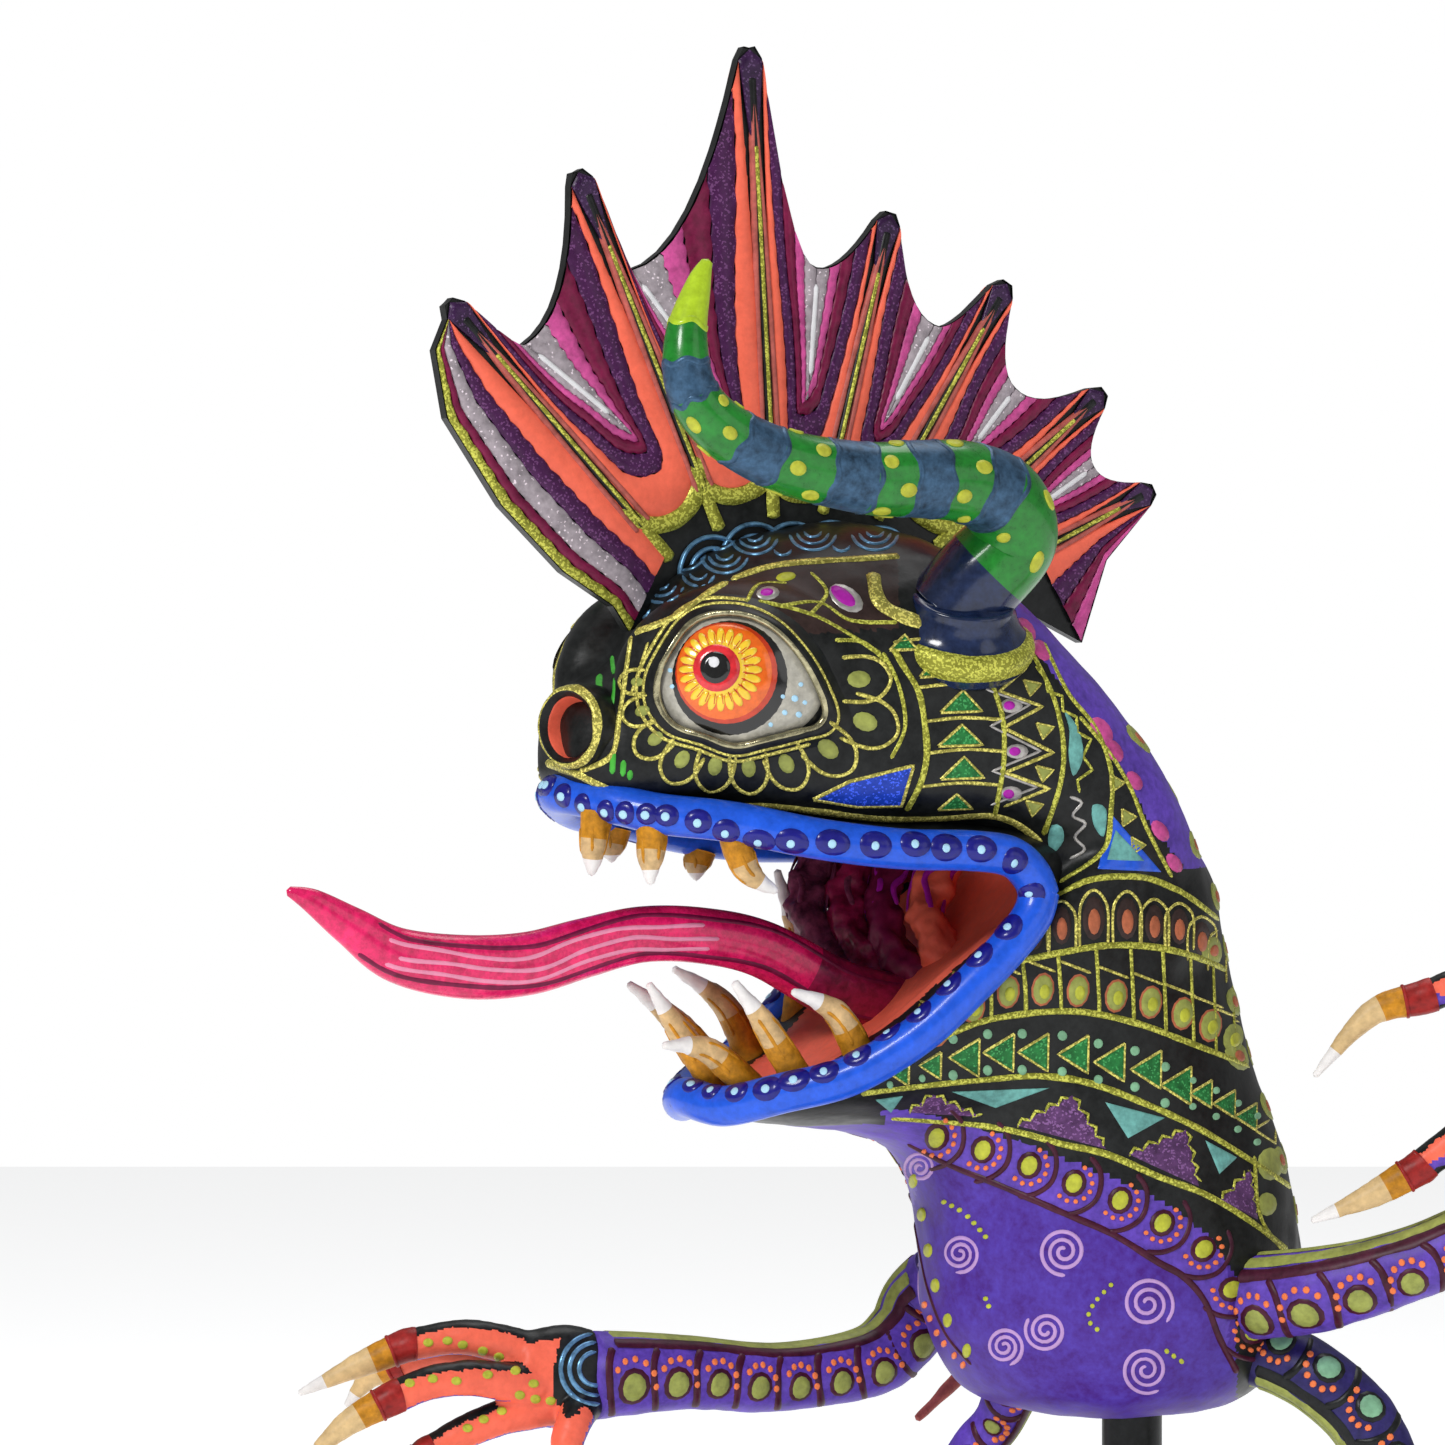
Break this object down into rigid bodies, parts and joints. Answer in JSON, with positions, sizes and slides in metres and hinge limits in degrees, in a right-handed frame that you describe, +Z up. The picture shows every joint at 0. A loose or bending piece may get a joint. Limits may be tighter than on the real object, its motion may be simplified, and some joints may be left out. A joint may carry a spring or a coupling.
{
  "type": "alebrije figure",
  "caption": "Painted papier-mache fantasy creature with a fan crest, curled horns, open toothed mouth and long tongue, lifting off the post of a round wooden stand.",
  "frame": {"origin": "middle of the felt under the base, on the plane that the figure stands on", "axes": "+Z up along the post; -X is where the snout points before the head is turned, and -Y is the side that the belly and face turn towards"},
  "size_m": [0.3256, 0.2027, 0.4947],
  "materials": {
    "base_wood": "satin",
    "body_paint": "satin",
    "card_tube": "matte",
    "claw_cream": "satin",
    "crest_wine": "satin",
    "eye_orange": "gloss",
    "felt": "matte",
    "hand_coral": "satin",
    "head_paint": "satin",
    "horn_green": "gloss",
    "lid_gold": "satin",
    "limb_violet": "satin",
    "lip_blue": "gloss",
    "mouth_coral": "satin",
    "nostril_paint": "satin",
    "post_paint": "satin",
    "steel_wire": "satin",
    "tongue_pink": "gloss",
    "tooth_cream": "satin",
    "wadded_paper": "matte"
  },
  "bodies": {
    "stand": {"base_disc": "base_wood", "base_felt": "felt", "support_post": "post_paint", "post_screw": "steel_wire"},
    "figure": {"arm_left": "limb_violet", "arm_left_wire": "steel_wire", "arm_right": "limb_violet", "arm_right_wire": "steel_wire", "belly_core": "wadded_paper", "claw_left_1": "claw_cream", "claw_left_2": "claw_cream", "claw_left_3": "claw_cream", "claw_left_4": "claw_cream", "claw_left_5": "claw_cream", "claw_right_1": "claw_cream", "claw_right_2": "claw_cream", "claw_right_3": "claw_cream", "claw_right_4": "claw_cream", "claw_right_5": "claw_cream", "crest_panel": "crest_wine", "eye_left": "eye_orange", "eye_right": "eye_orange", "foot_left": "limb_violet", "foot_right": "limb_violet", "hand_left": "hand_coral", "hand_right": "hand_coral", "head_core": "wadded_paper", "head_shell": "head_paint", "horn_left": "horn_green", "horn_right": "horn_green", "leg_left": "limb_violet", "leg_left_wire": "steel_wire", "leg_right": "limb_violet", "leg_right_wire": "steel_wire", "lid_left": "lid_gold", "lid_right": "lid_gold", "lower_jaw": "mouth_coral", "lower_lip": "lip_blue", "nostril_left": "nostril_paint", "nostril_right": "nostril_paint", "post_sleeve": "card_tube", "sleeve_plug": "card_tube", "tail": "limb_violet", "tongue": "tongue_pink", "tooth_lower_1": "tooth_cream", "tooth_lower_2": "tooth_cream", "tooth_lower_3": "tooth_cream", "tooth_lower_4": "tooth_cream", "tooth_lower_5": "tooth_cream", "tooth_lower_6": "tooth_cream", "tooth_lower_7": "tooth_cream", "tooth_upper_1": "tooth_cream", "tooth_upper_2": "tooth_cream", "tooth_upper_3": "tooth_cream", "tooth_upper_4": "tooth_cream", "tooth_upper_5": "tooth_cream", "torso_shell": "body_paint", "upper_lip": "lip_blue"}
  },
  "joints": [
    {"name": "lift_off_post", "type": "slide", "parent": "stand", "child": "figure", "axis": [0, 0, 1], "range_m": [0, 0.075]}
  ]
}
